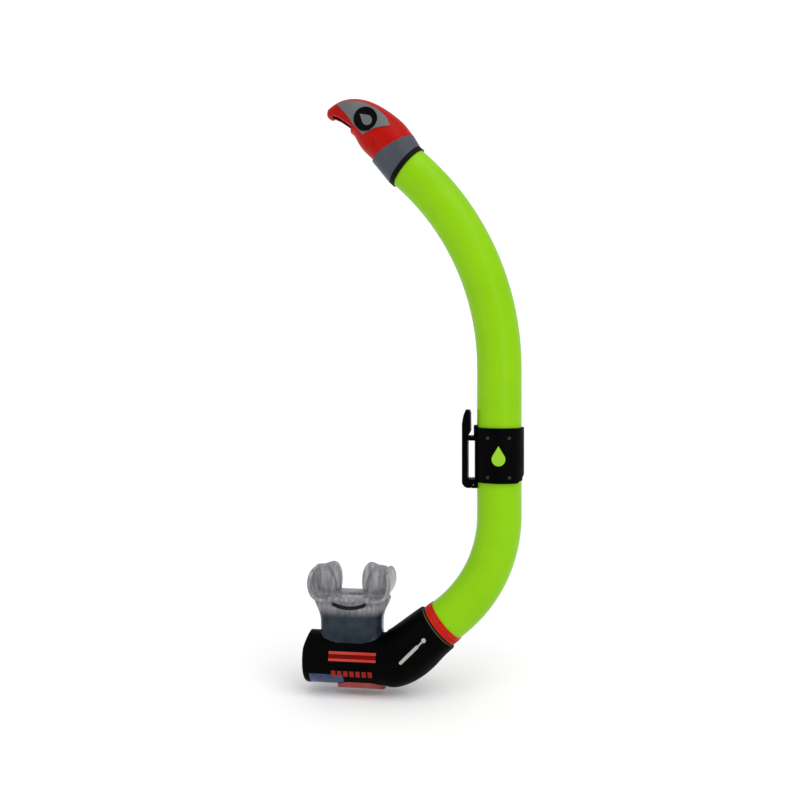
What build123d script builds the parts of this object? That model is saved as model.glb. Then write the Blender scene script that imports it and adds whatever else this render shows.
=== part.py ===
# Snorkel with a green J-shaped tube, a splash guard with a float valve, a strap keeper,
# and a swivelling purge chamber that carries a clear bite mouthpiece.
# Frame: origin at the middle of the mask-strap slot, +Z up as worn, the snorkel's own plane is XZ.
import math
import os
from build123d import *

os.makedirs("parts", exist_ok=True)

# ---------------------------------------------------------------- driving dimensions, mm
# main tube
tube_r = 14.75
tube_wall = 1.5
straight_up = 60.7
straight_down = 37.2
upper_bend_r = 180.0
upper_bend_deg = 48.5
lower_bend_r = 88.4
lower_bend_deg = 49.5
lower_tail = 5.4

# fits
glue_gap = 0.02
running = 0.05
clear = 0.3

# swivel at the tube's lower end
ring_len = 6.2
collar_len = 0.9
washer_len = 0.8
knurl_count = 60
spigot_len = 7.4
bead_len = 1.5
bead_out = 0.45
oring_r = 0.6
coupler_wall = 2.05
swivel_play = 0.2

# purge chamber
chamber_r = 17.3
chamber_wall = 1.8
elbow_len = 42.8
elbow_lip = 2.2
elbow_bend_r = 24.0
elbow_swell = 1.7
chamber_len = 59.3
cap_len = 3.9
cap_round = 2.6
spigot_w = 38.4
spigot_d = 20.4
spigot_top = 30.5
neck_wall = 1.8
neck_skin = 1.8
spigot_round = 8.6
mouth_offset = 31.8

# purge valve under the chamber
purge_offset = 25.2
purge_w = 33.2
purge_d = 21.6
purge_hole_r = 9.0
cover_h = 2.6
cover_wall = 1.2
seat_t = 1.4
valve_t = 0.9
stem_r = 1.5
purge_lift = 1.3

# mouthpiece
mouth_w = 56.6
mouth_d = 30.0
mouth_top = 61.5
flange_t = 2.6
tab_gap = 14.6
tab_t = 4.6
slot_w = 22.0
slot_d = 7.0

# strap keeper
slot_gap = 4.3
slot_h = 25.4
liner_t = 0.5
band_t = 1.0
band_h = 36.0
clip_bar_t = 3.8
clip_depth = 12.0
clip_top = 33.0
badge_h = 13.0

# splash guard: along the tube end's own axis, and across it, drawn for a tube of guard_drawn_r
guard_drawn_r = 14.5
gasket_t = 3.4
gasket_out = 0.9
guard_wall = 1.6
panel_t = 0.6
badge_r = 7.8
pin_r = 1.7
pin_along = 26.1
pin_across = -3.9
valve_seat_r = 8.0
valve_open_deg = 16.0
# (along top, across top, along bottom, across bottom, half width)
guard_sections = [
    (11.1, 18.0, 21.3, -12.4, 15.8),
    (20.3, 19.8, 29.7, -10.7, 15.8),
    (28.8, 20.1, 37.5, -9.0, 15.5),
    (41.1, 18.7, 43.7, -7.2, 14.8),
    (52.4, 15.0, 50.4, -7.7, 13.2),
    (60.9, 8.7, 57.0, -8.5, 10.8),
    (65.4, 1.6, 62.4, -9.4, 7.4),
    (67.6, -4.6, 65.8, -8.6, 3.2),
]

# ---------------------------------------------------------------- derived
plug_len = lower_tail - clear
elbow_mouth_r = tube_r + elbow_lip
guard_scale = tube_r / guard_drawn_r
flap_seat_r = valve_seat_r * guard_scale
disc_r = badge_r * guard_scale
neck_w = spigot_w + 2 * neck_skin
neck_d = spigot_d + 2 * neck_skin
neck_round = spigot_round + 1.2
cover_round = purge_d / 2 - 0.1
bore_r = tube_r - tube_wall
liner_in_r = tube_r + running
liner_out_r = liner_in_r + liner_t
band_in_r = liner_out_r + running
band_r = band_in_r + band_t
tube_x = slot_gap / 2 + band_r

ub = math.radians(upper_bend_deg)
lb = math.radians(lower_bend_deg)
top_pt = Vector(tube_x - upper_bend_r * (1 - math.cos(ub)), 0, straight_up + upper_bend_r * math.sin(ub))
top_dir = Vector(-math.sin(ub), 0, math.cos(ub))
top_side = Vector(math.cos(ub), 0, math.sin(ub))
bend_end = Vector(
    tube_x - lower_bend_r * (1 - math.cos(lb)), 0, -straight_down - lower_bend_r * math.sin(lb)
)
low_dir = Vector(-math.sin(lb), 0, -math.cos(lb))
low_pt = bend_end + low_dir * lower_tail
low = Plane(origin=low_pt, x_dir=(0, 1, 0), z_dir=low_dir)
corner = low_pt + low_dir * elbow_len
axis_z = corner.Z
left = Plane(origin=corner, x_dir=(0, 1, 0), z_dir=(-1, 0, 0))


def disc(plane, r, a, b):
    """Cylinder of radius r on a plane's axis, from a to b."""
    return plane * Pos(0, 0, a) * Cylinder(r, b - a, align=(Align.CENTER, Align.CENTER, Align.MIN))


def ring(plane, r_out, r_in, a, b):
    """Ring on a plane's axis, from a to b."""
    return disc(plane, r_out, a, b) - disc(plane, r_in, a - 1, b + 1)


def rod_y(x, z, r, y0, y1):
    """Cylinder along Y."""
    return disc(Plane(origin=(x, 0, z), x_dir=(1, 0, 0), z_dir=(0, 1, 0)), r, y0, y1)


def block(x0, x1, y0, y1, z0, z1):
    """Box between two corners."""
    return Pos(x0, y0, z0) * Box(x1 - x0, y1 - y0, z1 - z0, align=(Align.MIN, Align.MIN, Align.MIN))


def side_prism(points, y0, y1):
    """Outline drawn in the XZ plane, thickened along Y from y0 to y1."""
    face = make_face(Polyline(*points, close=True))
    return Pos(0, y1, 0) * extrude(Plane.XZ * face, y1 - y0)


def level(w, d, r, x, z):
    """Rounded rectangle lying level at height z."""
    return Pos(x, 0, z) * RectangleRounded(w, d, r)


def save(shape, name):
    """Write one node's solids to its STEP file."""
    solids = shape.solids()
    body = solids[0] if len(solids) == 1 else Compound(children=list(solids))
    export_step(body, f"parts/{name}.step")


# ---------------------------------------------------------------- main tube
def tube_run(r):
    """The tube's full run at radius r, from its lower end to its upper end."""
    low_up = Plane(origin=low_pt, x_dir=(0, 1, 0), z_dir=low_dir * -1)
    tail = Line(low_pt, bend_end)
    mid = Vector(tube_x, 0, -straight_down)
    lower_c = Vector(tube_x - lower_bend_r, 0, -straight_down)
    half = lb / 2
    lower_mid = lower_c + Vector(math.cos(half), 0, -math.sin(half)) * lower_bend_r
    lower_arc = ThreePointArc(bend_end, lower_mid, mid)
    up = Line(mid, Vector(tube_x, 0, straight_up))
    upper_c = Vector(tube_x - upper_bend_r, 0, straight_up)
    upper_mid = upper_c + Vector(math.cos(ub / 2), 0, math.sin(ub / 2)) * upper_bend_r
    upper_arc = ThreePointArc(Vector(tube_x, 0, straight_up), upper_mid, top_pt)
    path = Wire([tail, lower_arc, up, upper_arc])
    return sweep(low_up * Circle(r), path=path)


main_tube = tube_run(tube_r) - tube_run(bore_r)
save(main_tube, "main_tube")

# ---------------------------------------------------------------- swivel joint at the lower end
plug_r = bore_r - glue_gap
coupler_bore_r = plug_r - coupler_wall
s_ring = ring_len
s_collar = s_ring + collar_len
s_washer = s_collar + washer_len
s_mouth = s_washer + swivel_play
s_lip = s_mouth + spigot_len
s_bead = s_lip + swivel_play
s_groove = (s_mouth + s_lip) / 2
socket_r = plug_r + running

coupler = ring(low, plug_r, coupler_bore_r, -plug_len, s_bead)
bead = low * Pos(0, 0, s_bead) * Cone(
    plug_r + bead_out, plug_r - 0.3, bead_len, align=(Align.CENTER, Align.CENTER, Align.MIN)
)
coupler += bead - disc(low, coupler_bore_r, s_bead - 1, s_bead + bead_len + 1)
oring_major = socket_r - 0.03 - oring_r
groove_floor = oring_major - oring_r - 0.02
coupler -= ring(low, plug_r + 1, groove_floor, s_groove - oring_r - 0.1, s_groove + oring_r + 0.1)
save(coupler, "tube_coupler")

swivel_ring = ring(low, tube_r + 0.5, plug_r + glue_gap, 0, s_ring)
knurls = []
for i in range(knurl_count):
    for row, along in enumerate((2.4, 3.7, 5.0)):
        turn = 360 * (i + 0.5 * (row % 2)) / knurl_count
        knurls.append(low * Rot(0, 0, turn) * Pos(tube_r + 0.45, 0, along) * Box(0.5, 0.8, 0.8))
swivel_ring += knurls
save(swivel_ring, "swivel_ring")
save(ring(low, tube_r + 0.6, plug_r + glue_gap, s_ring, s_collar), "swivel_collar")
save(ring(low, tube_r + 0.45, plug_r + glue_gap, s_collar, s_washer), "swivel_washer")
save(low * Pos(0, 0, s_groove) * Torus(oring_major, oring_r), "swivel_o_ring")

# ---------------------------------------------------------------- purge chamber
elbow_turn = math.pi / 2 - lb
tangent_len = elbow_bend_r * math.tan(elbow_turn / 2)


def elbow_station(t):
    """Plane on the elbow's centre line: t from 0 to 1 is the bend itself."""
    start = corner - low_dir * tangent_len
    inner = Vector(-math.cos(lb), 0, math.sin(lb))
    centre = start + inner * elbow_bend_r
    turn = elbow_turn * t
    out = inner * -1
    direction = low_dir * math.cos(turn) + inner * math.sin(turn)
    radial = out * math.cos(turn) + low_dir * math.sin(turn)
    return Plane(origin=centre + radial * elbow_bend_r, x_dir=(0, 1, 0), z_dir=direction)


def elbow_run(first, first_r, inset):
    """Lofted elbow from a distance along the tube's axis to the straight chamber."""
    bend_start = elbow_len - tangent_len
    stations = [(Plane(origin=low_pt + low_dir * first, x_dir=(0, 1, 0), z_dir=low_dir), first_r)]
    mid_s = (first + bend_start) / 2
    mid_r = (first_r + chamber_r + 1.8 - inset) / 2
    stations.append((Plane(origin=low_pt + low_dir * mid_s, x_dir=(0, 1, 0), z_dir=low_dir), mid_r))
    faces = [plane * Circle(r) for plane, r in stations]
    for t, swell in ((0.0, 1.6), (0.5, elbow_swell), (1.0, 0.0)):
        faces.append(elbow_station(t) * Ellipse(chamber_r - inset, chamber_r + swell - inset))
    return loft(faces)


past_bend = tangent_len
outer = elbow_run(s_mouth, elbow_mouth_r, 0)
outer += disc(left, chamber_r, past_bend, chamber_len)

mouth_x = corner.X - mouth_offset
spigot_low = axis_z + chamber_r * 0.4
spigot_h = axis_z + spigot_top - spigot_low
outer += extrude(level(spigot_w, spigot_d, spigot_round, mouth_x, spigot_low), spigot_h)

purge_x = corner.X - purge_offset

inner = elbow_run(s_lip, elbow_mouth_r - 1.5, chamber_wall)
inner_r = chamber_r - chamber_wall
inner += disc(left, inner_r, past_bend, chamber_len + 1)
inner += disc(low, socket_r, s_mouth - 1, s_lip + 1)
spigot_in_w = spigot_w - 2 * neck_wall
spigot_in_d = spigot_d - 2 * neck_wall
inner += extrude(level(spigot_in_w, spigot_in_d, spigot_round - neck_wall, mouth_x, axis_z), spigot_top + 1)
down = Plane(origin=(purge_x, 0, axis_z), x_dir=(1, 0, 0), z_dir=(0, 0, -1))
inner += disc(down, purge_hole_r, 0, chamber_r + 1)
seat_s = chamber_r - 6.7
cup = ring(down, purge_hole_r + 1.4, purge_hole_r, seat_s - 0.4, chamber_r)
cup &= disc(left, inner_r + 0.5, 0, chamber_len)

# window pocket in the sump at the chamber's closed end
window_x0 = corner.X - chamber_len + 1.0
window_x1 = window_x0 + 23.0
window_low = axis_z - chamber_r - 1
window_top = axis_z - chamber_r * 0.42
window_t = 1.0
window_zone = block(window_x0, window_x1, -chamber_r, chamber_r, window_low, window_top)
window_zone -= extrude(level(purge_w + 1.2, purge_d + 1.2, cover_round, purge_x, window_low), chamber_r)
skin = ring(left, chamber_r, chamber_r - window_t, past_bend, chamber_len)
window_pane = skin & window_zone
chamber = outer - inner - window_pane + cup
save(chamber, "purge_chamber")
save(window_pane, "sump_window")

cap = disc(left, chamber_r, chamber_len, chamber_len + cap_len)
cap_edge = cap.faces().sort_by(Axis.X)[0].edges()
cap = fillet(cap_edge, cap_round)
cap_x = corner.X - chamber_len - cap_len
slope = [
    (cap_x - 1.0, axis_z + chamber_r + 1.0),
    (cap_x + 2.9, axis_z + chamber_r + 1.0),
    (cap_x - 0.2, axis_z + chamber_r * 0.42),
    (cap_x - 1.0, axis_z + chamber_r * 0.42),
]
cap -= side_prism(slope, -chamber_r - 1, chamber_r + 1)
cap += ring(left, inner_r - glue_gap, inner_r - 1.6, chamber_len - 5, chamber_len + 1)
save(cap, "chamber_end_cap")

# raised markings on both sides of the chamber and elbow: plain bars, dashes and dots
mark_t = 0.18
sleeve = disc(left, chamber_r + mark_t, past_bend + 1, chamber_len - 1) - disc(
    left, chamber_r, past_bend, chamber_len
)
bars = []
side_in = chamber_r * 0.5
side_out = chamber_r + 2.0
for z in (7.25, 2.95):
    for side in (-1, 1):
        y0, y1 = sorted((side * side_in, side * side_out))
        bars.append(
            sleeve
            & block(mouth_x - 12.9, mouth_x + 18.9, y0, y1, axis_z + z - 0.8, axis_z + z + 0.8)
        )
stripes = bars[0]
for bar in bars[1:]:
    stripes += bar
save(stripes, "chamber_stripes")

dash_count = 7
dash_pitch = 4.1
dash_mid = mouth_x + 2.6
dashes = None
for i in range(dash_count):
    x = dash_mid + (i - (dash_count - 1) / 2) * dash_pitch
    for side in (-1, 1):
        y0, y1 = sorted((side * side_in, side * side_out))
        dash = sleeve & block(x - 1.45, x + 1.45, y0, y1, axis_z - 8.6, axis_z - 4.4)
        dashes = dash if dashes is None else dashes + dash
save(dashes, "chamber_marks")

elbow_marks = None
low_side = Vector(-low_dir.Z, 0, low_dir.X)
mark_a = low_pt + low_dir * (s_mouth + 8.2) - low_side * 1.6
mark_b = low_pt + low_dir * (s_mouth + 31.0) + low_side * 0.4
mark_dir = (mark_b - mark_a).normalized()
mark_len = (mark_b - mark_a).length
for side in (-1, 1):
    far = (chamber_r + 7.0) * side
    mid = (mark_a + mark_b) * 0.5 + mark_dir * 2.6
    bar_plane = Plane(origin=mid, x_dir=mark_dir, z_dir=(0, side, 0))
    bar = extrude(bar_plane * SlotOverall(mark_len - 5.2, 2.2), far * side)
    stem_plane = Plane(origin=mark_a + mark_dir * 3.5, x_dir=mark_dir, z_dir=(0, side, 0))
    bar += extrude(stem_plane * Rectangle(6.0, 1.0), far * side)
    dot = extrude(Plane(origin=mark_a, x_dir=mark_dir, z_dir=(0, side, 0)) * Circle(1.5), far * side)
    mark = bar + dot
    elbow_marks = mark if elbow_marks is None else elbow_marks + mark


def elbow_skin(extra):
    """Elbow outside, swollen by a little."""
    return elbow_run(s_mouth, elbow_mouth_r + extra, -extra)


elbow_marks = (elbow_marks & elbow_skin(mark_t)) - outer
save(elbow_marks, "elbow_marks")

# ---------------------------------------------------------------- purge valve
seat = disc(down, purge_hole_r - glue_gap, seat_s, seat_s + seat_t)
hub_r = stem_r + 1.4
web = ring(down, purge_hole_r - 1.6, hub_r, seat_s - 1, seat_s + seat_t + 1)
spokes = None
spoke_plane = down * Pos(0, 0, seat_s + seat_t / 2)
for i in range(3):
    spoke = spoke_plane * Rot(0, 0, 90 + 60 * i) * Box(2 * purge_hole_r, 1.4, 8)
    spokes = spoke if spokes is None else spokes + spoke
seat -= web - spokes
seat -= disc(down, stem_r + running, 0, chamber_r + 2)
save(seat, "purge_seat")

valve_top = seat_s + seat_t + 0.02
barb_low = seat_s - purge_lift - 0.1
valve = disc(down, purge_hole_r - 0.8, valve_top, valve_top + valve_t)
valve += disc(down, stem_r, barb_low - 1.5, valve_top)
valve += down * Pos(0, 0, barb_low - 1.5) * Cone(
    stem_r, stem_r + 0.6, 1.5, align=(Align.CENTER, Align.CENTER, Align.MIN)
)
save(valve, "purge_valve")

cover_out_r = chamber_r + cover_h
cover_low = axis_z - cover_out_r - 1
cover = extrude(level(purge_w, purge_d, cover_round, purge_x, cover_low), cover_out_r)
cover &= disc(left, cover_out_r, 0, chamber_len)
cavity = extrude(
    level(purge_w - 2 * cover_wall, purge_d - 2 * cover_wall, cover_round - cover_wall, purge_x, cover_low),
    cover_out_r,
)
cover -= cavity & disc(left, cover_out_r - cover_wall, 0, chamber_len)
cover -= disc(left, chamber_r + glue_gap, 0, chamber_len)
for x in (-10.5, -3.5, 3.5, 10.5):
    cover -= block(purge_x + x - 1.5, purge_x + x + 1.5, -6.0, 6.0, cover_low, axis_z - chamber_r - 0.1)
save(cover, "purge_cover")

# ---------------------------------------------------------------- mouthpiece
def at(dx, dz):
    """Point of the mouthpiece's side outline, from the chamber's axis under its middle."""
    return (mouth_x + dx, axis_z + dz)


neck_levels = [
    (6.0, neck_w, neck_d, neck_round),
    (27.0, neck_w + 1.2, neck_d + 0.4, neck_round),
    (34.0, neck_w + 6.0, neck_d + 1.0, neck_round),
    (40.5, neck_w + 10.0, neck_d - 3.5, neck_round - 1.5),
]
mouth = loft([level(w, d, r, mouth_x, axis_z + z) for z, w, d, r in neck_levels])
half = mouth_w / 2
arm_outer = [
    (half - 7.0, 30.0),
    (half - 3.2, 37.4),
    (half - 0.9, 43.5),
    (half, 50.5),
    (half - 0.8, 57.0),
    (half - 2.4, mouth_top),
]
arm_inner = [
    (half - 2.4 - flange_t, mouth_top),
    (half - 0.8 - flange_t, 56.5),
    (half - flange_t, 50.5),
    (half - 1.6 - flange_t, 45.0),
    (half - 6.5 - flange_t, 43.0),
    (0.0, 43.0),
]
right = arm_outer + arm_inner
mirror_side = [(-x, z) for x, z in reversed(right[:-1])]
outline = [at(x, z) for x, z in right + mirror_side]
flange = side_prism(outline, -mouth_d / 2, mouth_d / 2)
side_view = Plane(origin=(mouth_x - half - 5, 0, axis_z + 46.0), x_dir=(0, 1, 0), z_dir=(1, 0, 0))
flange &= extrude(side_view * RectangleRounded(mouth_d, 2 * (mouth_top - 46.0), 9.0), mouth_w + 10)
mouth += flange
tab_outline = [
    (tab_gap / 2 + 0.3, 41.0),
    (tab_gap / 2 - 0.3, 50.0),
    (tab_gap / 2 + 1.0, 60.0),
    (tab_gap / 2 + 3.6, 64.0),
    (tab_gap / 2 + 7.2, 64.8),
    (tab_gap / 2 + 10.4, 62.8),
    (tab_gap / 2 + 13.0, 60.6),
    (half - 0.8 - flange_t, 60.2),
    (half - flange_t, 50.5),
    (half - flange_t, 41.0),
]
for sign in (1, -1):
    tab = side_prism([at(sign * x, z) for x, z in tab_outline], -tab_t / 2, tab_t / 2)
    mouth += tab
neck_in_w = spigot_w + 2 * glue_gap
neck_in_d = spigot_d + 2 * glue_gap
mouth -= extrude(level(neck_in_w, neck_in_d, spigot_round + glue_gap, mouth_x, axis_z), spigot_top + 0.5)
mouth -= loft(
    [
        level(spigot_in_w, spigot_in_d, spigot_round - neck_wall, mouth_x, axis_z + spigot_top),
        level(slot_w, slot_d, 3.0, mouth_x, axis_z + 36.0),
    ]
)
mouth -= extrude(level(slot_w, slot_d, 3.0, mouth_x, axis_z + 35.5), 10.0)
gap_half = tab_gap / 2 - 0.3
mouth -= block(mouth_x - gap_half, mouth_x + gap_half, -slot_d / 2, slot_d / 2, axis_z + 36, axis_z + 70)
mouth -= disc(left, chamber_r + glue_gap, 0, chamber_len + 5)
mouth = mouth.solids().sort_by(SortBy.VOLUME)[-1]
save(mouth, "mouthpiece")

# ---------------------------------------------------------------- strap keeper
upright = Plane(origin=(tube_x, 0, 0), x_dir=(1, 0, 0), z_dir=(0, 0, 1))
half_h = band_h / 2
band_mid = 3.5
band_low = band_mid - half_h
band_high = band_mid + half_h
save(ring(upright, liner_out_r, liner_in_r, band_low + 1.0, band_high - 1.0), "keeper_liner")

band = ring(upright, band_r, band_in_r, band_low, band_high)
corner_cut = side_prism(
    [
        (tube_x + band_r - 6.0, band_low - 1),
        (tube_x + band_r - 3.0, band_low + 0.9),
        (tube_x + band_r - 1.0, band_low + 3.2),
        (tube_x + band_r + 1.0, band_low + 7.0),
        (tube_x + band_r + 1.0, band_low - 1),
    ],
    -band_r - 1,
    band_r + 1,
)
band -= corner_cut
wall_x = tube_x - band_r
bar_in_x = wall_x - slot_gap
bar_out_x = bar_in_x - clip_bar_t
peg_h = 3.0
peg_z = slot_h / 2 + peg_h / 2
foot_r = 3.0
root_z = -slot_h / 2 - foot_r
half_d = clip_depth / 2
bite_x = tube_x - band_in_r + 2.0
peg = block(bar_in_x + clear, bite_x, -half_d, half_d, peg_z - peg_h / 2, peg_z + peg_h / 2)
ear = block(wall_x - 0.3, bite_x, -half_d, half_d, peg_z + peg_h / 2, band_high + 1.2)
pivot_x = wall_x - foot_r - clear - 0.2
root = block(pivot_x, bite_x, -half_d, half_d, root_z - foot_r, root_z + foot_r)
hold = disc(upright, band_in_r, band_low - 20, band_high + 20)
band += (peg + ear + root) - hold
band -= rod_y(pivot_x, root_z, foot_r + clear, -half_d - 1, half_d + 1)
save(band, "keeper_band")

bar = block(bar_out_x, bar_in_x, -half_d, half_d, root_z, clip_top)
bar -= side_prism(
    [
        (bar_out_x - 1.0, clip_top - 9.0),
        (bar_out_x, clip_top - 9.0),
        (bar_out_x + 0.9, clip_top - 4.0),
        (bar_out_x + 2.4, clip_top),
        (bar_out_x + 2.4, clip_top + 1.0),
        (bar_out_x - 1.0, clip_top + 1.0),
    ],
    -half_d - 1,
    half_d + 1,
)
foot = block(bar_out_x, pivot_x, -half_d, half_d, root_z - foot_r, root_z + foot_r)
foot = fillet(foot.edges().filter_by(Axis.Y).group_by(Axis.Z)[0].sort_by(Axis.X)[0], 4.4)
heel = side_prism(
    [
        (bar_in_x - 1.0, clip_top),
        (bar_in_x + 0.9, clip_top),
        (bar_in_x + 1.7, clip_top - 2.2),
        (bar_in_x + 1.8, peg_z + peg_h + 1.5),
        (bar_in_x + 0.2, peg_z + peg_h / 2 + clear),
        (bar_in_x - 1.0, peg_z + peg_h / 2 + clear),
    ],
    -half_d,
    half_d,
)
clip = bar + foot + heel + rod_y(pivot_x, root_z, foot_r, -half_d, half_d)
save(clip, "strap_clip")

rivets = None
for side in (-1, 1):
    for x in (-7.0, 7.0):
        for z in (band_mid - 14.0, band_mid + 11.6):
            y0, y1 = sorted((side * 9.0, side * (math.sqrt(band_r**2 - x**2) + 0.7)))
            pip = rod_y(tube_x + x, z, 1.1, y0, y1) - disc(upright, band_r, band_low - 1, band_high + 1)
            rivets = pip if rivets is None else rivets + pip
save(rivets, "keeper_rivets")


def droplet(h):
    """Plain droplet outline of height h, point up, middle at the origin."""
    r = h * 0.34
    cz = r - h / 2
    tip = (0.0, h / 2)
    turn = math.asin(r / (h / 2 - cz))
    right_pt = (r * math.cos(turn), cz + r * math.sin(turn))
    left_pt = (-right_pt[0], right_pt[1])
    edges = [Line(left_pt, tip), Line(tip, right_pt), ThreePointArc(right_pt, (0, cz - r), left_pt)]
    return make_face(edges)


keeper_badge = None
for side in (-1, 1):
    spot = Plane(origin=(tube_x, 0, band_mid), x_dir=(-side, 0, 0), z_dir=(0, side, 0))
    drop = extrude(spot * droplet(badge_h), band_r + 2)
    drop &= ring(upright, band_r + 0.25, band_r, band_low, band_high)
    keeper_badge = drop if keeper_badge is None else keeper_badge + drop
save(keeper_badge, "keeper_badge")

# ---------------------------------------------------------------- splash guard
top_plane = Plane(origin=top_pt, x_dir=(0, 1, 0), z_dir=top_dir)


def guard_point(along, across):
    """Point of the guard's side view, from the middle of the tube's upper end."""
    return top_pt + top_dir * (along * guard_scale) + top_side * (across * guard_scale)


def guard_frame(section):
    """Section plane, x from its lower edge to its upper edge, and its half length."""
    a0, c0, a1, c1, wide = section
    high = guard_point(a0, c0)
    lowp = guard_point(a1, c1)
    span = high - lowp
    along = span.normalized()
    normal = along.cross(Vector(0, 1, 0)).normalized()
    if normal.dot(top_dir) < 0:
        normal = normal * -1
    return Plane(origin=(high + lowp) * 0.5, x_dir=along, z_dir=normal), span.length / 2, wide * guard_scale


def guard_loft(sections, inset):
    """Guard shape, inset from the outside."""
    faces = []
    for section in sections:
        plane, half_len, half_wide = guard_frame(section)
        faces.append(plane * Ellipse(half_len - inset, half_wide - inset))
    return loft(faces)


base_plane, base_half, base_width = guard_frame(guard_sections[0])
hood_outer = guard_loft(guard_sections, 0)
nose_sections = guard_sections[:-1]
hood_inner = guard_loft(nose_sections, guard_wall)
hood = hood_outer - hood_inner

inlet_points = [(45.6, -12.0), (45.6, -4.2), (52.0, -4.6), (58.0, -5.4), (62.0, -6.8), (62.0, -13.0)]
inlet_outline = [guard_point(a, c) for a, c in inlet_points]
inlet_half = 9.5 * guard_scale
inlet = side_prism([(p.X, p.Z) for p in inlet_outline], -inlet_half, inlet_half)
hood -= inlet
pin_pt = guard_point(pin_along, pin_across)
hood -= rod_y(pin_pt.X, pin_pt.Z, pin_r + glue_gap, -30, 30)

panel_points = [
    (63.0, 0.2),
    (58.0, 6.9),
    (50.0, 12.2),
    (39.4, 14.9),
    (30.1, 14.6),
    (24.2, 11.8),
    (30.4, 4.5),
    (34.8, -3.9),
    (44.8, -2.8),
    (52.0, -0.9),
]
panel_outline = [guard_point(a, c) for a, c in panel_points]
panel_xz = [(p.X, p.Z) for p in panel_outline]
panel_skin = guard_loft(guard_sections, -panel_t) - hood_outer
badge_pt = guard_point(39.4, 4.7)
emblem_parts = None
for side, word in ((-1, "front"), (1, "back")):
    y0, y1 = sorted((side * 4.0, side * 40.0))
    panel = panel_skin & side_prism(panel_xz, y0, y1)
    panel -= rod_y(badge_pt.X, badge_pt.Z, disc_r + glue_gap, y0, y1)
    save(panel, f"guard_panel_{word}")
    disc_top = guard_sections[3][4] * guard_scale + 1.0
    y0, y1 = sorted((side * 9.0, side * disc_top))
    badge = rod_y(badge_pt.X, badge_pt.Z, disc_r, y0, y1) - hood_outer
    save(badge, f"guard_badge_{word}")
    spot = Plane(origin=(badge_pt.X, side * disc_top, badge_pt.Z), x_dir=(-side, 0, 0), z_dir=(0, side, 0))
    drop = extrude(spot * Rot(0, 0, -side * upper_bend_deg) * droplet(disc_r * 1.25), 0.3)
    emblem_parts = drop if emblem_parts is None else emblem_parts + drop
save(emblem_parts, "guard_emblems")
save(hood, "guard_hood")
pin_half = 13.6 * guard_scale
save(rod_y(pin_pt.X, pin_pt.Z, pin_r, -pin_half, pin_half), "valve_pin")

save(ring(top_plane, tube_r + gasket_out, bore_r, 0, gasket_t), "guard_gasket")


def collar_loft(r, inset):
    """Wedge between the gasket and the hood's base."""
    foot = Plane(origin=top_pt + top_dir * gasket_t, x_dir=top_side, z_dir=top_dir)
    return loft([foot * Circle(r), base_plane * Ellipse(base_half - inset, base_width - inset)])


guard_collar = collar_loft(tube_r + gasket_out + 0.1, 0)
collar_inner = collar_loft(bore_r - 0.2, guard_wall)
guard_collar -= collar_inner
stub_r = bore_r - glue_gap
stub_len = 12.0
guard_collar += ring(top_plane, stub_r, stub_r - 1.4, 0, gasket_t + 0.5)
guard_collar -= disc(top_plane, stub_r - 1.4, 0, gasket_t + 1)
stub_zone = disc(top_plane, tube_r + 2, -stub_len, 0)
guard_collar += (tube_run(stub_r) - tube_run(stub_r - 1.4)) & stub_zone
save(guard_collar, "guard_collar")

# ---------------------------------------------------------------- float valve, hanging open
rim_h = 1.0
seat_plate_t = 2.0
plate_low = base_plane * Pos(0, 0, -seat_plate_t - 0.2)
valve_plate = plate_low * extrude(Ellipse(base_half, base_width), seat_plate_t)
valve_plate &= collar_loft(bore_r - 0.2 - glue_gap, guard_wall + glue_gap)
valve_plate += ring(base_plane, flap_seat_r + 1.4, flap_seat_r, -0.3, rim_h)
valve_plate -= disc(base_plane, flap_seat_r, -10, 5)
save(valve_plate, "valve_seat")

flap_gap = 0.15
flap_t = 1.2
flap_r = flap_seat_r + 1.6
flap = disc(base_plane, flap_r, rim_h + flap_gap, rim_h + flap_gap + flap_t)
pin_local = base_plane.to_local_coords(Vector(pin_pt.X, 0, pin_pt.Z))
hub_r2 = pin_r + 1.2
lever_low = rim_h + flap_gap + flap_t
lever = base_plane * Pos(0, 0, lever_low) * extrude(Circle(4.5), 1.2)
arm = (
    base_plane
    * Pos(pin_local.X / 2, 0, lever_low + 0.6)
    * Box(abs(pin_local.X), 6.0, 1.2)
)
lever += arm
lever += base_plane * Pos(pin_local.X, 0, (lever_low + pin_local.Z) / 2) * Box(
    2.4, 6.0, pin_local.Z - lever_low
)
hub = rod_y(pin_pt.X, pin_pt.Z, hub_r2, -6.0, 6.0)
float_low = pin_local.Z + 7.0 * guard_scale
post = base_plane * Pos(pin_local.X + 1.5, 0, (pin_local.Z + float_low) / 2) * Box(
    2.8, 6.0, float_low - pin_local.Z
)
lever += hub
lever += post
lever -= rod_y(pin_pt.X, pin_pt.Z, pin_r + running, -10, 10)
float_box = base_plane * Pos(pin_local.X + 3.3 * guard_scale, 0, float_low) * Box(
    9.0 * guard_scale,
    15.0 * guard_scale,
    13.0 * guard_scale,
    align=(Align.CENTER, Align.CENTER, Align.MIN),
)
float_box = fillet(float_box.edges(), 2.6)
pin_axis = Axis((pin_pt.X, 0, pin_pt.Z), (0, 1, 0))
save(flap.rotate(pin_axis, -valve_open_deg), "valve_flap")
save(lever.rotate(pin_axis, -valve_open_deg), "valve_lever")
save(float_box.rotate(pin_axis, -valve_open_deg), "valve_float")
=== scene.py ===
import math

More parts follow.
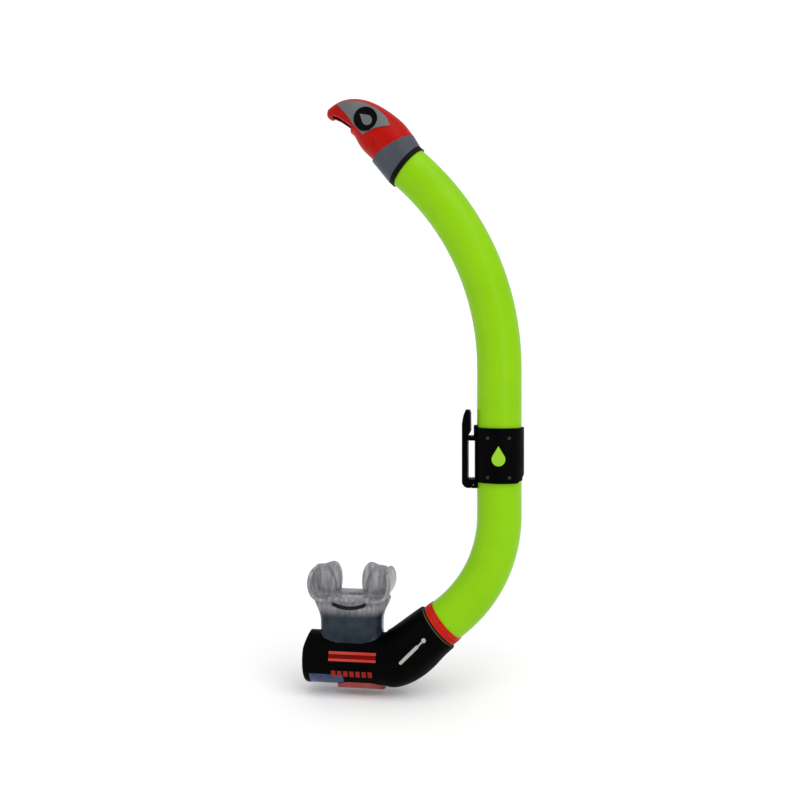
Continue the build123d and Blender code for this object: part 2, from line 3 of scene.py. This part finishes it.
import bmesh
import bpy
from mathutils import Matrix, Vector


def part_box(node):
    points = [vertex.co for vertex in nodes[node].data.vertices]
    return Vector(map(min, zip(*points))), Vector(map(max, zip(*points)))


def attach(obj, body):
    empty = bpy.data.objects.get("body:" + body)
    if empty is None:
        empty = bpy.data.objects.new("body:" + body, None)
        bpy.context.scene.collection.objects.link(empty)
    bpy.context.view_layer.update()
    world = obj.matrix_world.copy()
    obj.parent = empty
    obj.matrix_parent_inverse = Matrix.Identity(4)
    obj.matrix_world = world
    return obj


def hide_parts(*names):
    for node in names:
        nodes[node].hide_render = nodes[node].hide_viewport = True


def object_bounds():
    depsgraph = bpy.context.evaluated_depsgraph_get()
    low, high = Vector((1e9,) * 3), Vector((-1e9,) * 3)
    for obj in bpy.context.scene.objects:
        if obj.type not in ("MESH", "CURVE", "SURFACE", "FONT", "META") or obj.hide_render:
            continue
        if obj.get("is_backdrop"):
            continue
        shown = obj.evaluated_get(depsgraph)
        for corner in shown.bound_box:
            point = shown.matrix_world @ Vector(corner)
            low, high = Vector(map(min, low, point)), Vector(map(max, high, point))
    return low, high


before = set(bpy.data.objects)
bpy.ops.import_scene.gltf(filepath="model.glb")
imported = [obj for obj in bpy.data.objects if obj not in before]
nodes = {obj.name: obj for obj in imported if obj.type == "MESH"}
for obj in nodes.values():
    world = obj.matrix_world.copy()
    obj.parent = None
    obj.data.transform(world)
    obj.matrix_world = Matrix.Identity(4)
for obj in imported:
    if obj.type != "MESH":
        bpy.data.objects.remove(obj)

cad_low, cad_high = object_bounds()

# sizes in metres unless a name ends in mm
floor_drop = 0.004
voxel_size = 0.0006
mouth_level = 0.0547
camera_at = (0.0393, -0.600, mouth_level)
camera_target = (-0.0482, 0, mouth_level)
camera_lens_mm = 40.4
camera_shift_y = -0.0286
world_lighting = 0.75
world_to_camera = 1.1

# the chamber's printed field, in millimetres from the mouthpiece's axis
field_x = (-12.9, 18.9)
field_z = (2.4, 8.0)
field_depth = (12.0, 18.0)

# the painted shade of the airway's dark slit seen through the silicone, and the heights where the clear neck
# turns grey, in millimetres
slit_shade_x = (-12.0, 11.6)
slit_shade_z = 36.2
slit_shade_bow = 0.019
slit_shade_half = 1.3
clear_below = 29.0
grey_above = 37.0


# ---------------------------------------------------------------- material helpers
def new_material(name):
    """An empty node material with its shader and output."""
    m = bpy.data.materials.new(name)
    m.use_nodes = True
    tree = m.node_tree
    tree.nodes.clear()
    out = tree.nodes.new("ShaderNodeOutputMaterial")
    shader = tree.nodes.new("ShaderNodeBsdfPrincipled")
    tree.links.new(shader.outputs["BSDF"], out.inputs["Surface"])
    coord = tree.nodes.new("ShaderNodeTexCoord")
    return m, tree, shader, coord


def noise(tree, coord, scale, detail=4.0, stretch=(1, 1, 1), turn=(0, 0, 0)):
    """Noise in object space, with scale in features per metre."""
    mapping = tree.nodes.new("ShaderNodeMapping")
    mapping.inputs["Scale"].default_value = stretch
    mapping.inputs["Rotation"].default_value = turn
    tree.links.new(coord.outputs["Object"], mapping.inputs["Vector"])
    n = tree.nodes.new("ShaderNodeTexNoise")
    n.inputs["Scale"].default_value = scale
    n.inputs["Detail"].default_value = detail
    tree.links.new(mapping.outputs["Vector"], n.inputs["Vector"])
    return n


def ramp(tree, source, stops):
    """Colour ramp over a factor."""
    r = tree.nodes.new("ShaderNodeValToRGB")
    els = r.color_ramp.elements
    while len(els) < len(stops):
        els.new(0.5)
    for el, (pos, col) in zip(els, stops):
        el.position = pos
        el.color = (*col, 1)
    tree.links.new(source, r.inputs["Fac"])
    return r


def span(tree, source, low, high, in_low=0.3, in_high=0.7):
    """Maps a factor to a range."""
    r = tree.nodes.new("ShaderNodeMapRange")
    r.inputs["From Min"].default_value = in_low
    r.inputs["From Max"].default_value = in_high
    r.inputs["To Min"].default_value = low
    r.inputs["To Max"].default_value = high
    tree.links.new(source, r.inputs["Value"])
    return r


def bumps(tree, shader, layers):
    """Chains bump layers of (height output, strength, distance)."""
    last = None
    for source, strength, distance in layers:
        b = tree.nodes.new("ShaderNodeBump")
        b.inputs["Strength"].default_value = strength
        b.inputs["Distance"].default_value = distance
        tree.links.new(source, b.inputs["Height"])
        if last is not None:
            tree.links.new(last.outputs["Normal"], b.inputs["Normal"])
        last = b
    tree.links.new(last.outputs["Normal"], shader.inputs["Normal"])


def scratches(tree, coord):
    """Sparse fine scratches as a factor: bright where a scratch runs."""
    n = noise(tree, coord, 260.0, 2.0, (1.0, 14.0, 1.0), (0.4, 0.2, 0.9))
    return ramp(tree, n.outputs["Fac"], [(0.66, (0, 0, 0)), (0.72, (1, 1, 1))])


def moulded(name, dark, light, rough, spec=0.5, grain=900.0, grain_depth=0.00004, worn=None):
    """Moulded plastic or rubber: mottled colour, moulding grain, handling scratches."""
    m, tree, shader, coord = new_material(name)
    big = noise(tree, coord, 38.0, 3.0)
    fine = noise(tree, coord, grain, 2.0)
    col = ramp(tree, big.outputs["Fac"], [(0.3, dark), (0.7, light)])
    scr = scratches(tree, coord)
    mix = tree.nodes.new("ShaderNodeMix")
    mix.data_type = "RGBA"
    tree.links.new(scr.outputs["Color"], mix.inputs["Factor"])
    tree.links.new(col.outputs["Color"], mix.inputs["A"])
    rubbed = ramp(tree, fine.outputs["Fac"], [(0.3, light), (0.7, worn or light)])
    tree.links.new(rubbed.outputs["Color"], mix.inputs["B"])
    tree.links.new(mix.outputs["Result"], shader.inputs["Base Color"])
    patch = noise(tree, coord, 90.0, 3.0)
    gloss = span(tree, patch.outputs["Fac"], rough * 0.85, rough * 1.2)
    tree.links.new(gloss.outputs["Result"], shader.inputs["Roughness"])
    shader.inputs["Specular IOR Level"].default_value = spec
    bumps(
        tree,
        shader,
        [
            (fine.outputs["Fac"], 0.35, grain_depth),
            (big.outputs["Fac"], 0.25, 0.0004),
            (scr.outputs["Color"], 0.2, 0.00005),
        ],
    )
    return m


def clear_soft(name, tint_a, tint_b, rough, weight, cloud_scale=60.0):
    """Clear or tinted silicone and plastic that light passes through."""
    m, tree, shader, coord = new_material(name)
    big = noise(tree, coord, cloud_scale, 3.0)
    col = ramp(tree, big.outputs["Fac"], [(0.3, tint_a), (0.7, tint_b)])
    tree.links.new(col.outputs["Color"], shader.inputs["Base Color"])
    fine = noise(tree, coord, 700.0, 2.0)
    gloss = span(tree, fine.outputs["Fac"], rough * 0.8, rough * 1.25)
    tree.links.new(gloss.outputs["Result"], shader.inputs["Roughness"])
    shader.inputs["Transmission Weight"].default_value = weight
    shader.inputs["IOR"].default_value = 1.41
    shader.inputs["Specular IOR Level"].default_value = 0.5
    bumps(tree, shader, [(big.outputs["Fac"], 0.2, 0.0005), (fine.outputs["Fac"], 0.15, 0.00003)])
    return m


def local_mm(tree, coord, origin):
    """Separate outputs of the position in millimetres from a point of the frame."""
    shift = tree.nodes.new("ShaderNodeVectorMath")
    shift.operation = "SUBTRACT"
    shift.inputs[1].default_value = origin
    tree.links.new(coord.outputs["Object"], shift.inputs[0])
    scale = tree.nodes.new("ShaderNodeVectorMath")
    scale.operation = "SCALE"
    scale.inputs["Scale"].default_value = 1000.0
    tree.links.new(shift.outputs["Vector"], scale.inputs[0])
    parts = tree.nodes.new("ShaderNodeSeparateXYZ")
    tree.links.new(scale.outputs["Vector"], parts.inputs["Vector"])
    return parts.outputs["X"], parts.outputs["Y"], parts.outputs["Z"]


def sums(tree, op, a, b=None, c=None):
    """Math node over sockets or numbers."""
    n = tree.nodes.new("ShaderNodeMath")
    n.operation = op
    for i, v in enumerate((a, b, c)):
        if v is None:
            continue
        if isinstance(v, (int, float)):
            n.inputs[i].default_value = v
        else:
            tree.links.new(v, n.inputs[i])
    return n.outputs["Value"]


def inside(tree, value, low, high, soft):
    """1 where a value lies between two limits, with soft sides."""
    up = tree.nodes.new("ShaderNodeMapRange")
    up.interpolation_type = "SMOOTHSTEP"
    up.inputs["From Min"].default_value = low - soft
    up.inputs["From Max"].default_value = low + soft
    tree.links.new(value, up.inputs["Value"])
    down = tree.nodes.new("ShaderNodeMapRange")
    down.interpolation_type = "SMOOTHSTEP"
    down.inputs["From Min"].default_value = high - soft
    down.inputs["From Max"].default_value = high + soft
    down.inputs["To Min"].default_value = 1.0
    down.inputs["To Max"].default_value = 0.0
    tree.links.new(value, down.inputs["Value"])
    return sums(tree, "MULTIPLY", up.outputs["Result"], down.outputs["Result"])


def repaint(m, factor, colour):
    """Lays a flat colour over a material's base colour where factor is 1."""
    tree = m.node_tree
    shader = tree.nodes["Principled BSDF"]
    under = shader.inputs["Base Color"].links[0].from_socket
    mix = tree.nodes.new("ShaderNodeMix")
    mix.data_type = "RGBA"
    tree.links.new(factor, mix.inputs["Factor"])
    tree.links.new(under, mix.inputs["A"])
    mix.inputs["B"].default_value = (*colour, 1)
    tree.links.new(mix.outputs["Result"], shader.inputs["Base Color"])


def object_coord(m):
    """The texture-coordinate node of a material."""
    return next(n for n in m.node_tree.nodes if n.bl_idname == "ShaderNodeTexCoord")


mouth_low, mouth_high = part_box("mouthpiece")
mouth_x = (mouth_low.x + mouth_high.x) / 2
cap_low, cap_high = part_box("chamber_end_cap")
axis_z = (cap_low.z + cap_high.z) / 2
cham_r = (cap_high.z - cap_low.z) / 2 * 1000
mouth_axis = (mouth_x, 0.0, axis_z)

green = moulded("lime_tube", (0.205, 0.475, 0.0016), (0.228, 0.510, 0.0024), 0.30, 0.10, 1400.0, 0.00002)
red = moulded("red_guard", (0.33, 0.003, 0.0012), (0.40, 0.005, 0.002), 0.34, 0.06, 1200.0, 0.00002)
red_ring = moulded("red_ring", (0.40, 0.004, 0.0015), (0.50, 0.008, 0.003), 0.36, 0.06, 1200.0, 0.00003)
black_tones = (0.0004, 0.0004, 0.0005), (0.0011, 0.0011, 0.0013)
black = moulded(
    "black_moulded", *black_tones, 0.42, 0.02, 800.0, 0.00005, worn=(0.003, 0.003, 0.0034)
)
black_chamber = moulded(
    "black_chamber", *black_tones, 0.42, 0.02, 800.0, 0.00005, worn=(0.003, 0.003, 0.0034)
)
black_gloss = moulded(
    "black_disc", (0.0006, 0.0006, 0.0008), (0.0014, 0.0014, 0.0017), 0.25, 0.06, 900.0, 0.00002
)
rubber = moulded(
    "black_rubber", (0.0018, 0.0018, 0.0020), (0.0036, 0.0036, 0.0038), 0.60, 0.08, 600.0, 0.00008
)
collar_grey = moulded("grey_collar", (0.040, 0.046, 0.060), (0.062, 0.070, 0.086), 0.42, 0.15, 1000.0, 0.00004)
panel_grey = moulded("grey_panel", (0.090, 0.100, 0.104), (0.128, 0.138, 0.140), 0.46, 0.2, 1500.0, 0.00006)
olive = moulded("olive_washer", (0.060, 0.100, 0.045), (0.095, 0.145, 0.070), 0.4, 0.2)
print_red = moulded("red_print", (0.36, 0.030, 0.020), (0.46, 0.055, 0.040), 0.5, 0.10)
mark_red = moulded("red_marks", (0.22, 0.006, 0.005), (0.31, 0.018, 0.015), 0.5, 0.10)
print_grey = moulded("grey_print", (0.30, 0.28, 0.255), (0.42, 0.39, 0.36), 0.5, 0.2)
emblem_grey = moulded("grey_emblem", (0.075, 0.085, 0.085), (0.12, 0.13, 0.13), 0.5, 0.15)
rivet_grey = moulded("grey_rivets", (0.010, 0.011, 0.010), (0.020, 0.021, 0.019), 0.45, 0.2)
print_green = moulded("green_print", (0.20, 0.45, 0.008), (0.26, 0.52, 0.015), 0.4, 0.2)
foam = moulded("float_foam", (0.45, 0.44, 0.38), (0.6, 0.59, 0.52), 0.75, 0.2, 500.0, 0.0002)
valve_silicone = clear_soft("valve_silicone", (0.70, 0.70, 0.73), (0.82, 0.82, 0.84), 0.35, 0.6)
blue_window = clear_soft("blue_window", (0.008, 0.022, 0.075), (0.030, 0.070, 0.190), 0.2, 0.25, 160.0)
red_clear = clear_soft("red_clear", (0.34, 0.030, 0.030), (0.48, 0.075, 0.075), 0.2, 0.4)

# printed dark field behind the chamber's two stripes
tree = black_chamber.node_tree
at_x, at_y, at_z = local_mm(tree, object_coord(black_chamber), mouth_axis)
field = sums(tree, "MULTIPLY", inside(tree, at_x, *field_x, 0.1), inside(tree, at_z, *field_z, 0.1))
field = sums(tree, "MULTIPLY", field, inside(tree, sums(tree, "ABSOLUTE", at_y), *field_depth, 0.5))
repaint(black_chamber, field, (0.125, 0.003, 0.003))

# painted highlight: the ring's knurls are painted paler where they stand proud
tree = red_ring.node_tree
geometry = tree.nodes.new("ShaderNodeNewGeometry")
knurl_highlight = span(tree, geometry.outputs["Pointiness"], 0.0, 0.5, 0.56, 0.68)
repaint(red_ring, knurl_highlight.outputs["Result"], (0.85, 0.34, 0.22))

# clear silicone: dark navy at the neck, where the chamber shows through, and grey and streaked in the wings
silicone, tree, shader, coord = new_material("clear_silicone")
at_x, at_y, at_z = local_mm(tree, coord, mouth_axis)
streak = noise(tree, coord, 420.0, 4.0, (1.0, 1.0, 0.16))
wing = ramp(
    tree,
    streak.outputs["Fac"],
    [(0.34, (0.19, 0.19, 0.21)), (0.50, (0.27, 0.27, 0.29)), (0.66, (0.40, 0.40, 0.42))],
)
cloud = noise(tree, coord, 130.0, 3.0)
neck = ramp(tree, cloud.outputs["Fac"], [(0.35, (0.006, 0.014, 0.026)), (0.65, (0.026, 0.040, 0.056))])
height = tree.nodes.new("ShaderNodeMapRange")
height.interpolation_type = "SMOOTHSTEP"
height.inputs["From Min"].default_value = clear_below
height.inputs["From Max"].default_value = grey_above
tree.links.new(at_z, height.inputs["Value"])
tint = tree.nodes.new("ShaderNodeMix")
tint.data_type = "RGBA"
tree.links.new(height.outputs["Result"], tint.inputs["Factor"])
tree.links.new(neck.outputs["Color"], tint.inputs["A"])
tree.links.new(wing.outputs["Color"], tint.inputs["B"])
tree.links.new(tint.outputs["Result"], shader.inputs["Base Color"])
passing = span(tree, height.outputs["Result"], 0.34, 0.30, 0.0, 1.0)
tree.links.new(passing.outputs["Result"], shader.inputs["Transmission Weight"])
fine = noise(tree, coord, 700.0, 2.0)
tree.links.new(span(tree, fine.outputs["Fac"], 0.16, 0.28).outputs["Result"], shader.inputs["Roughness"])
shader.inputs["IOR"].default_value = 1.41
shader.inputs["Specular IOR Level"].default_value = 0.12
bumps(
    tree,
    shader,
    [
        (cloud.outputs["Fac"], 0.2, 0.0004),
        (streak.outputs["Fac"], 0.15, 0.0002),
        (fine.outputs["Fac"], 0.15, 0.00003),
    ],
)
# painted shade: the airway's slit is painted as a dark band under the wings, where the shade inside it shows
# through
curve = sums(tree, "MULTIPLY_ADD", sums(tree, "MULTIPLY", at_x, at_x), slit_shade_bow, slit_shade_z)
slit_shade = sums(tree, "ABSOLUTE", sums(tree, "SUBTRACT", at_z, curve))
slit_shade = sums(tree, "MULTIPLY", inside(tree, slit_shade, -5.0, slit_shade_half, 0.35), inside(tree, at_x, *slit_shade_x, 1.2))
repaint(silicone, slit_shade, (0.004, 0.005, 0.007))

looks = {
    "main_tube": green,
    "tube_coupler": black,
    "swivel_ring": red_ring,
    "swivel_collar": black,
    "swivel_washer": olive,
    "swivel_o_ring": rubber,
    "guard_gasket": rubber,
    "guard_collar": collar_grey,
    "guard_hood": red,
    "guard_panel_front": panel_grey,
    "guard_panel_back": panel_grey,
    "guard_badge_front": black_gloss,
    "guard_badge_back": black_gloss,
    "guard_emblems": emblem_grey,
    "valve_pin": red,
    "valve_seat": collar_grey,
    "valve_flap": rubber,
    "valve_lever": panel_grey,
    "valve_float": foam,
    "keeper_liner": rubber,
    "keeper_band": black,
    "keeper_badge": print_green,
    "keeper_rivets": rivet_grey,
    "strap_clip": black,
    "purge_chamber": black_chamber,
    "chamber_end_cap": black,
    "sump_window": blue_window,
    "chamber_stripes": print_red,
    "chamber_marks": mark_red,
    "elbow_marks": print_grey,
    "purge_seat": black,
    "purge_valve": valve_silicone,
    "purge_cover": red_clear,
}
for name, m in looks.items():
    mesh = nodes[name].data
    mesh.materials.clear()
    mesh.materials.append(m)


# ---------------------------------------------------------------- mesh helpers
def make_piece(name, verts, faces, material):
    """A mesh object from points and faces, with its normals made consistent."""
    mesh = bpy.data.meshes.new(name)
    mesh.from_pydata(verts, [], faces)
    bm = bmesh.new()
    bm.from_mesh(mesh)
    bmesh.ops.remove_doubles(bm, verts=bm.verts, dist=1e-7)
    bmesh.ops.recalc_face_normals(bm, faces=bm.faces)
    bm.to_mesh(mesh)
    bm.free()
    mesh.shade_smooth()
    o = bpy.data.objects.new(name, mesh)
    bpy.context.scene.collection.objects.link(o)
    mesh.materials.append(material)
    return o


def apply_modifiers(o):
    """Bakes an object's modifiers into its mesh."""
    deps = bpy.context.evaluated_depsgraph_get()
    done = bpy.data.meshes.new_from_object(o.evaluated_get(deps))
    o.modifiers.clear()
    o.data = done


def catmull(points, per, closed=False):
    """Smooth curve through points."""
    out = []
    n = len(points)
    count = n if closed else n - 1
    for i in range(count):
        if closed:
            p = [points[(i + k - 1) % n] for k in range(4)]
        else:
            p = [points[min(max(i + k - 1, 0), n - 1)] for k in range(4)]
        for s in range(per):
            t = s / per
            out.append(
                tuple(
                    0.5
                    * (
                        2 * p[1][a]
                        + (p[2][a] - p[0][a]) * t
                        + (2 * p[0][a] - 5 * p[1][a] + 4 * p[2][a] - p[3][a]) * t * t
                        + (3 * p[1][a] - p[0][a] - 3 * p[2][a] + p[3][a]) * t**3
                    )
                    for a in range(len(p[0]))
                )
            )
    if not closed:
        out.append(tuple(points[-1]))
    return out


def loop_solid(loops, cyclic=False):
    """Points and faces of a skin over equal closed loops."""
    n = len(loops[0])
    verts = [v for loop in loops for v in loop]
    faces = []
    rows = len(loops)
    for r in range(rows if cyclic else rows - 1):
        a, b = r * n, ((r + 1) % rows) * n
        for i in range(n):
            j = (i + 1) % n
            faces.append((a + i, a + j, b + j, b + i))
    if not cyclic:
        faces.append(tuple(range(n - 1, -1, -1)))
        faces.append(tuple(range((rows - 1) * n, rows * n)))
    return verts, faces


# ---------------------------------------------------------------- the mouthpiece, in millimetres
# x across the mouth, y through its height, z towards the mouth from the chamber's axis
loop_points = 72
bore_w, bore_d = 38.45, 20.45
rib_count = 6
rib_pitch = 2.1
rib_first = 12.2
web_half_gap = 9.0


def place(p):
    """Mouthpiece millimetres to the frame's metres."""
    return (mouth_x + p[0] / 1000, p[1] / 1000, axis_z + p[2] / 1000)


def oval(w, d, z, power=3.2, saddle=None):
    """Rounded-rectangle loop; saddle lays it on a cylinder of that radius."""
    out = []
    for i in range(loop_points):
        a = 2 * math.pi * i / loop_points
        c, s = math.cos(a), math.sin(a)
        x = math.copysign(abs(c) ** (2 / power), c) * w / 2
        y = math.copysign(abs(s) ** (2 / power), s) * d / 2
        h = z if saddle is None else math.sqrt(max(saddle**2 - y * y, 0)) + z
        out.append((x, y, h))
    return out


def blend_loop(a, b, t):
    """Loop part-way between two loops."""
    return [tuple(p[k] + (q[k] - p[k]) * t for k in range(3)) for p, q in zip(a, b)]


neck_out = [
    oval(42.8, 24.6, 0.1, saddle=cham_r),
    oval(43.0, 24.8, 1.0, saddle=cham_r),
    oval(42.6, 24.4, 1.9, saddle=cham_r),
]
first = oval(42.1, 24.1, 2.8, saddle=cham_r)
second = oval(42.4, 24.3, 26.0)
neck_out += [blend_loop(first, second, t) for t in (0, 0.33, 0.66, 1.0)]
neck_out += [
    oval(43.0, 24.8, 28.6),
    oval(44.6, 25.2, 31.4),
    oval(47.2, 25.2, 34.4),
    oval(50.2, 24.6, 37.2),
    oval(52.2, 22.8, 39.8),
    oval(53.0, 20.4, 41.8),
]
neck_in = [
    oval(22.0, 7.0, 42.6, 3.0),
    oval(21.6, 6.8, 39.0, 3.0),
    oval(25.0, 9.0, 36.4, 3.0),
    oval(34.0, 16.6, 32.6),
    oval(bore_w, bore_d, 30.6),
    oval(bore_w, bore_d, 24.0),
    oval(bore_w, bore_d, 0.1, saddle=cham_r),
]
neck_verts, neck_faces = loop_solid(neck_out + neck_in, cyclic=True)


def plate(outline, half_t, ease=0.8):
    """A side outline thickened along y, with eased rims."""
    n = len(outline)
    cx = sum(p[0] for p in outline) / n
    cz = sum(p[1] for p in outline) / n
    layers = [(-half_t, ease), (-half_t + ease * 0.3, ease * 0.3), (-half_t + ease, 0.0)]
    layers += [(-y, e) for y, e in reversed(layers)]
    loops = []
    for y, inset in layers:
        loop = []
        for i in range(n):
            px, pz = outline[i]
            ax, az = outline[i - 1]
            bx, bz = outline[(i + 1) % n]
            tx, tz = bx - ax, bz - az
            length = math.hypot(tx, tz) or 1.0
            nx, nz = tz / length, -tx / length
            if nx * (cx - px) + nz * (cz - pz) < 0:
                nx, nz = -nx, -nz
            loop.append((px + nx * inset, y, pz + nz * inset))
        loops.append(loop)
    return loop_solid(loops)


arm_line = [
    (11.5, 41.2, 14.0),
    (17.6, 41.0, 14.2),
    (21.8, 41.9, 14.6),
    (24.6, 44.2, 14.9),
    (26.2, 47.6, 15.0),
    (26.95, 51.5, 15.0),
    (26.7, 55.5, 14.6),
    (25.8, 58.6, 12.8),
    (24.9, 60.3, 10.2),
    (24.4, 61.3, 6.0),
]


def arm(sign):
    """One wing of the lip flange: a curved plate with a thicker rolled rim."""
    line = catmull(arm_line, 5)
    loops = []
    steps = 20
    for i, (x, z, h) in enumerate(line):
        a = line[max(i - 1, 0)]
        b = line[min(i + 1, len(line) - 1)]
        tx, tz = b[0] - a[0], b[1] - a[1]
        length = math.hypot(tx, tz)
        nx, nz = tz / length, -tx / length
        loop = []
        for side in (1, -1):
            for k in range(steps + 1):
                v = 1 - 2 * k / steps
                if side < 0:
                    v = -v
                rim = 1.0 + 0.35 * max(0.0, (abs(v) - 0.8) / 0.2) if abs(v) < 0.97 else 0.8
                t = 1.2 * rim
                loop.append((sign * (x + nx * t * side), v * h, z + nz * t * side))
        loops.append(loop)
    return loop_solid(loops)


tab_side = [
    (8.2, 40.0),
    (7.5, 45.5),
    (7.2, 51.0),
    (7.6, 57.0),
    (8.8, 61.6),
    (11.0, 64.2),
    (13.6, 64.9),
    (16.4, 64.0),
    (18.8, 63.1),
    (21.6, 62.9),
    (24.0, 62.0),
    (26.2, 58.4),
    (27.0, 52.0),
    (25.4, 44.6),
    (21.0, 40.4),
    (13.6, 39.6),
]
ridge_side = [
    (7.9, 47.0),
    (7.2, 52.0),
    (7.6, 57.5),
    (9.0, 61.6),
    (11.2, 64.0),
    (13.8, 64.5),
    (16.0, 63.0),
    (14.6, 59.0),
    (12.0, 55.0),
    (10.8, 50.5),
    (10.2, 46.0),
]
soft_parts = [(neck_verts, neck_faces)]
for sign in (1, -1):
    soft_parts.append(arm(sign))
    soft_parts.append(plate([(sign * x, z) for x, z in catmull(tab_side, 5, True)], 2.3))
    soft_parts.append(plate([(sign * x, z) for x, z in catmull(ridge_side, 5, True)], 4.4, 1.2))
    for k in range(rib_count):
        x = rib_first + rib_pitch * k
        low = 45.0 + 0.5 * k
        high = 59.2 - 0.5 * k
        near, far = sign * (x - 0.5), sign * (x + 0.5)
        rib = [(near, low), (far, low), (far, high), (near, high)]
        soft_parts.append(plate(rib, 2.95, 0.2))
    web = [(-14, 40.6), (14, 40.6), (14, 43.4), (-14, 43.4)]
    verts, faces = plate(web, 5.6, 0.6)
    soft_parts.append(([(x, y + sign * web_half_gap, z) for x, y, z in verts], faces))

verts, faces = [], []
for part_verts, part_faces in soft_parts:
    base = len(verts)
    verts += [place(p) for p in part_verts]
    faces += [tuple(base + i for i in f) for f in part_faces]
mouthpiece = make_piece("mouthpiece_soft", verts, faces, silicone)
remesh = mouthpiece.modifiers.new("join", "REMESH")
remesh.mode = "VOXEL"
remesh.voxel_size = voxel_size
remesh.use_smooth_shade = True
ease = mouthpiece.modifiers.new("ease", "SMOOTH")
ease.factor = 0.5
ease.iterations = 4
apply_modifiers(mouthpiece)
mouthpiece.data.shade_smooth()
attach(mouthpiece, "chamber")
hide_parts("mouthpiece")

# ---------------------------------------------------------------- floor, light and camera
floor_z = cad_low.z - floor_drop
bpy.ops.mesh.primitive_plane_add(size=30, location=(0, 0, floor_z))
floor = bpy.context.object
floor.name = "floor"
floor_mat, floor_tree, floor_shader, floor_coord = new_material("pale_floor")
floor_noise = noise(floor_tree, floor_coord, 3.0, 3.0)
floor_tones = [(0.3, (0.93, 0.93, 0.93)), (0.7, (0.95, 0.95, 0.95))]
floor_colour = ramp(floor_tree, floor_noise.outputs["Fac"], floor_tones)
floor_tree.links.new(floor_colour.outputs["Color"], floor_shader.inputs["Base Color"])
floor_shader.inputs["Roughness"].default_value = 0.9
floor.data.materials.append(floor_mat)
floor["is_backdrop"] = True

world = bpy.data.worlds.new("studio")
bpy.context.scene.world = world
world.use_nodes = True
sky = world.node_tree
backdrop = sky.nodes["Background"]
backdrop.inputs["Color"].default_value = (1.0, 1.0, 1.0, 1)
path = sky.nodes.new("ShaderNodeLightPath")
seen = sky.nodes.new("ShaderNodeMapRange")
seen.inputs["To Min"].default_value = world_lighting
seen.inputs["To Max"].default_value = world_to_camera
sky.links.new(path.outputs["Is Camera Ray"], seen.inputs["Value"])
sky.links.new(seen.outputs["Result"], backdrop.inputs["Strength"])


def lamp(name, size, energy, where, target):
    """Soft rectangular studio light aimed at a point."""
    data = bpy.data.lights.new(name, "AREA")
    data.shape = "RECTANGLE"
    data.size, data.size_y = size
    data.energy = energy
    o = bpy.data.objects.new(name, data)
    bpy.context.scene.collection.objects.link(o)
    o.location = where
    o.rotation_euler = (Vector(target) - Vector(where)).to_track_quat("-Z", "Y").to_euler()


lamp("strip_right", (0.22, 1.1), 2.6, (0.64, -1.02, 0.12), (0, 0, 0.04))
lamp("strip_left", (0.22, 1.1), 1.4, (-0.92, -0.77, 0.12), (0, 0, 0.04))
sun_data = bpy.data.lights.new("overhead", "SUN")
sun_data.energy = 1.35
sun_data.angle = 0.9
sun = bpy.data.objects.new("overhead", sun_data)
bpy.context.scene.collection.objects.link(sun)
sun.rotation_euler = Vector((-0.45, 0.55, -1.0)).to_track_quat("-Z", "Y").to_euler()

camera_data = bpy.data.cameras.new("camera")
camera = bpy.data.objects.new("camera", camera_data)
bpy.context.scene.collection.objects.link(camera)
camera.location = camera_at
camera.rotation_euler = (Vector(camera_target) - camera.location).to_track_quat("-Z", "Y").to_euler()
camera_data.sensor_width = 36
camera_data.lens = camera_lens_mm
camera_data.shift_y = camera_shift_y
camera_data.clip_start = 0.01
bpy.context.scene.camera = camera
bpy.context.scene.view_settings.view_transform = "Standard"

low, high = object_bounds()
